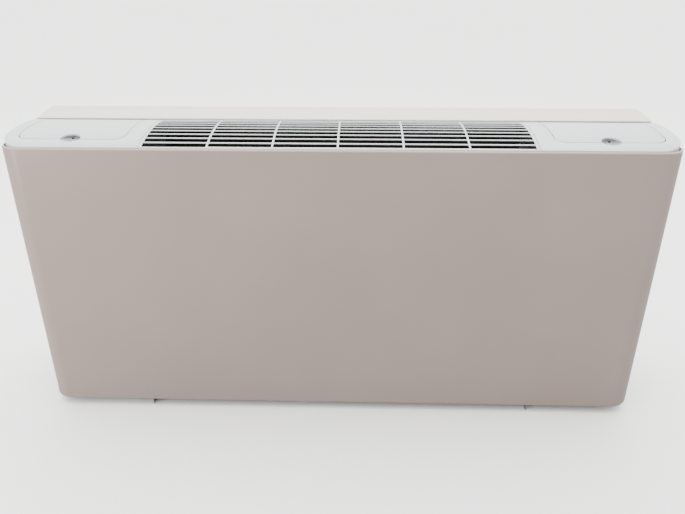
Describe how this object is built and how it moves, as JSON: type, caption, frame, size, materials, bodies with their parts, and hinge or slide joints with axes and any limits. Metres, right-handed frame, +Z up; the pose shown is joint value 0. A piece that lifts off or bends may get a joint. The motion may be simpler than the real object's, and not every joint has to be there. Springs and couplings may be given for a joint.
{
  "type": "fan convector heater",
  "caption": "Low cased fan convector with round-cornered painted steel front, domed plastic top, slatted outlet grille, two flip flaps and a raised rear strip.",
  "frame": {"origin": "middle of the footprint, on the plane that the feet stand on", "axes": "+X to the right seen from the room, +Y towards the wall, +Z up"},
  "size_m": [1.02, 0.2, 0.49],
  "materials": {
    "painted_steel": "smooth powder coat",
    "painted_strip": "smooth powder coat",
    "abs_grey": "fine satin moulding",
    "galvanised": "spangled zinc",
    "fin_aluminium": "dull",
    "copper": "drawn tube",
    "brass": "machined",
    "steel_bright": "turned",
    "screw_dark": "black oxide",
    "black_plastic": "moulded",
    "grey_plastic": "moulded",
    "white_plastic": "moulded",
    "motor_paint": "baked enamel",
    "foam": "closed cell",
    "filter_net": "woven net",
    "rubber": "moulded"
  },
  "bodies": {
    "root": {"front_casing": "painted_steel", "rear_top_strip": "painted_strip", "left_end_piece": "abs_grey", "right_end_piece": "abs_grey", "outlet_grille": "abs_grey", "left_hinge_pin": "steel_bright", "right_hinge_pin": "steel_bright", "end_piece_screws": "screw_dark", "back_plate": "galvanised", "left_side_panel": "galvanised", "right_side_panel": "galvanised", "fan_deck": "galvanised", "left_top_bracket": "galvanised", "right_top_bracket": "galvanised", "casing_screws": "steel_bright", "deck_screws": "steel_bright", "left_volute": "galvanised", "right_volute": "galvanised", "fan_motor": "motor_paint", "motor_bracket": "galvanised", "coil_fins": "fin_aluminium", "coil_left_end_plate": "galvanised", "coil_right_end_plate": "galvanised", "coil_tubes": "copper", "flow_header": "copper", "return_header": "copper", "flow_union": "brass", "return_union": "brass", "air_vent_valve": "brass", "drain_valve": "brass", "drain_pan": "galvanised", "valve_drip_tray": "black_plastic", "left_filter_rail": "galvanised", "right_filter_rail": "galvanised", "front_insulation_pad": "foam", "rear_insulation_pad": "foam", "control_box": "galvanised", "control_fascia": "grey_plastic", "switch_housing": "black_plastic", "terminal_block": "white_plastic", "run_capacitor": "white_plastic", "earth_screw": "brass", "cable_gland": "rubber"},
    "rotor": {"motor_shaft": "steel_bright", "left_blower_wheel": "grey_plastic", "right_blower_wheel": "grey_plastic", "wheel_grub_screws": "screw_dark"},
    "left_flap": {"left_flap": "abs_grey"},
    "right_flap": {"right_flap": "abs_grey"},
    "filter": {"filter_frame": "black_plastic", "filter_mesh": "filter_net"},
    "speed_knob": {"speed_knob": "black_plastic"},
    "thermostat_knob": {"thermostat_knob": "black_plastic"},
    "season_rocker": {"season_rocker": "white_plastic"},
    "vent_screw": {"air_vent_screw": "brass"}
  },
  "joints": [
    {"name": "left_flap_hinge", "type": "hinge", "parent": "root", "child": "left_flap", "pos_m": [-0.404, 0.024, 0.474], "axis": [-1, 0, 0], "range_deg": [0, 90]},
    {"name": "right_flap_hinge", "type": "hinge", "parent": "root", "child": "right_flap", "pos_m": [0.404, 0.024, 0.474], "axis": [-1, 0, 0], "range_deg": [0, 90]},
    {"name": "fan_spin", "type": "hinge", "parent": "root", "child": "rotor", "pos_m": [0, 0.004, 0.102], "axis": [1, 0, 0], "continuous": true},
    {"name": "filter_slide", "type": "slide", "parent": "root", "child": "filter", "axis": [0, -1, 0], "range_m": [0, 0.18]},
    {"name": "speed_knob_turn", "type": "hinge", "parent": "root", "child": "speed_knob", "pos_m": [0.362, -0.012, 0.445], "axis": [0, 0, -1], "range_deg": [0, 135]},
    {"name": "thermostat_knob_turn", "type": "hinge", "parent": "root", "child": "thermostat_knob", "pos_m": [0.442, -0.012, 0.445], "axis": [0, 0, -1], "range_deg": [0, 270]},
    {"name": "season_rocker_tilt", "type": "hinge", "parent": "root", "child": "season_rocker", "pos_m": [0.402, -0.012, 0.4405], "axis": [0, 1, 0], "range_deg": [-10, 10]},
    {"name": "vent_screw_turn", "type": "hinge", "parent": "root", "child": "vent_screw", "pos_m": [-0.342, -0.00543, 0.41689], "axis": [0, 0, 1], "range_deg": [0, 270]}
  ]
}
